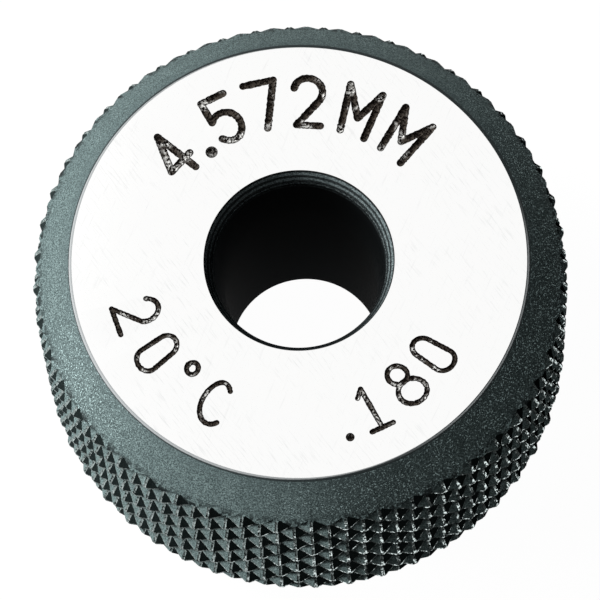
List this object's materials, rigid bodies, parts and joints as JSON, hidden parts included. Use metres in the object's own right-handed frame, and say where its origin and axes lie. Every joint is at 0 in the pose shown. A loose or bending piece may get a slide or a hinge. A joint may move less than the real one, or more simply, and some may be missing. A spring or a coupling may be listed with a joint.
{
  "type": "setting ring gauge",
  "caption": "Small setting ring gauge: a blackened steel ring with a diamond-knurled outside, ground flat faces and a lapped bore of marked size.",
  "frame": {"origin": "centre of the bore on the lower ground face, which is the face the ring rests on", "axes": "+Z along the bore, up towards the marked face; -Y towards the reader of the marking, +X to the reader's right"},
  "size_m": [0.0158, 0.0158, 0.0087],
  "materials": {
    "blackened_steel": "hardened steel with a matt black-oxide skin on the chamfers, knurl and bore mouths; both faces ground bright"
  },
  "bodies": {
    "root": {"gauge_ring": "blackened_steel"}
  },
  "joints": []
}
